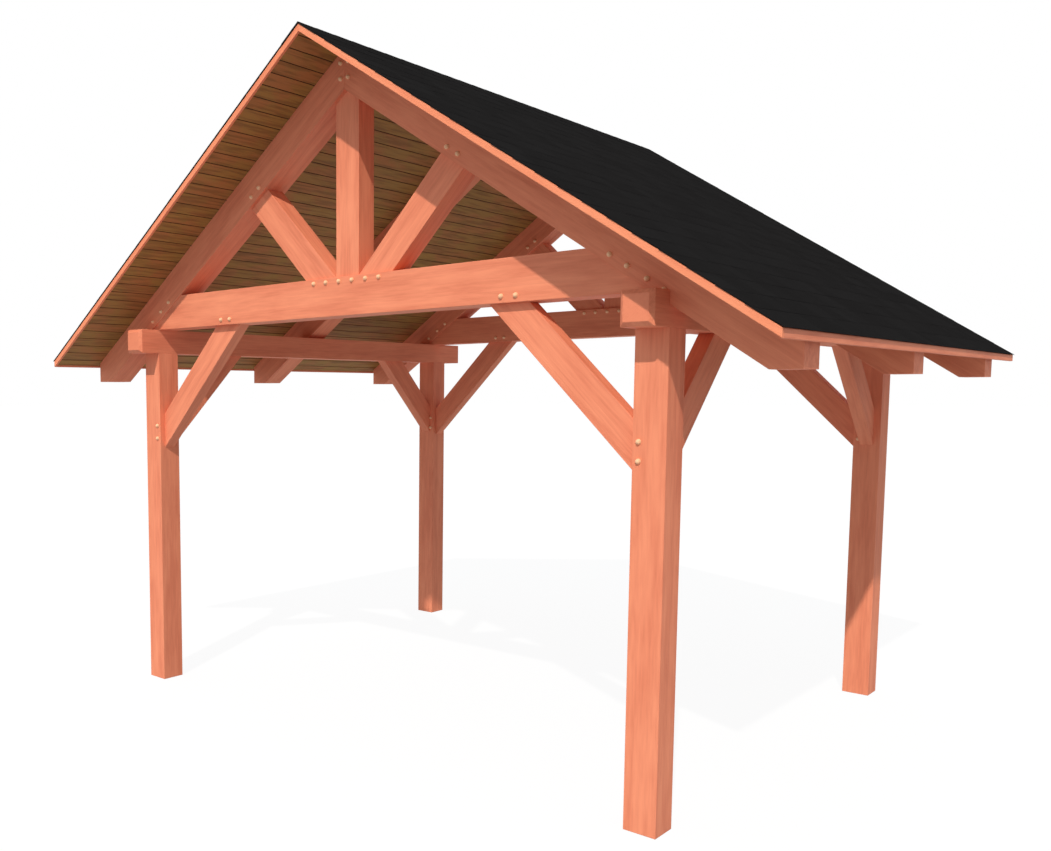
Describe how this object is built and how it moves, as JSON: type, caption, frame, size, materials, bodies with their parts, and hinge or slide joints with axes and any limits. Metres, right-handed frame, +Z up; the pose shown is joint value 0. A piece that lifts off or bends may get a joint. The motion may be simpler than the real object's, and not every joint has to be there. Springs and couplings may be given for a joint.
{
  "type": "timber-frame pavilion",
  "caption": "Open timber-frame gable pavilion: square posts with knee braces carry eave plates, king-post trusses and a boarded roof with dark roofing, as a garden shelter.",
  "frame": {"origin": "on the ground, midway between the posts", "axes": "+X to the right across the gable, +Y from the front to the rear along the ridge, +Z up"},
  "size_m": [4.808, 3.728, 3.7697],
  "materials": {
    "timber": "oiled softwood with lengthwise grain",
    "trim": "oiled softwood trim",
    "roof_boards": "brown stained boards, satin",
    "roofing": "black mineral-faced roofing, matt"
  },
  "bodies": {
    "root": {"front_king_post": "timber", "front_left_plate_brace": "timber", "front_left_post": "timber", "front_left_rafter": "timber", "front_left_rake_board": "trim", "front_left_strut": "timber", "front_left_tie_brace": "timber", "front_right_plate_brace": "timber", "front_right_post": "timber", "front_right_rafter": "timber", "front_right_rake_board": "trim", "front_right_strut": "timber", "front_right_tie_brace": "timber", "front_tie_beam": "timber", "left_eave_fascia": "trim", "left_plate": "timber", "left_roof_deck": "roof_boards", "left_roofing": "roofing", "middle_left_rafter": "timber", "middle_right_rafter": "timber", "rear_king_post": "timber", "rear_left_plate_brace": "timber", "rear_left_post": "timber", "rear_left_rafter": "timber", "rear_left_rake_board": "trim", "rear_left_strut": "timber", "rear_left_tie_brace": "timber", "rear_right_plate_brace": "timber", "rear_right_post": "timber", "rear_right_rafter": "timber", "rear_right_rake_board": "trim", "rear_right_strut": "timber", "rear_right_tie_brace": "timber", "rear_tie_beam": "timber", "right_eave_fascia": "trim", "right_plate": "timber", "right_roof_deck": "roof_boards", "right_roofing": "roofing"}
  },
  "joints": []
}
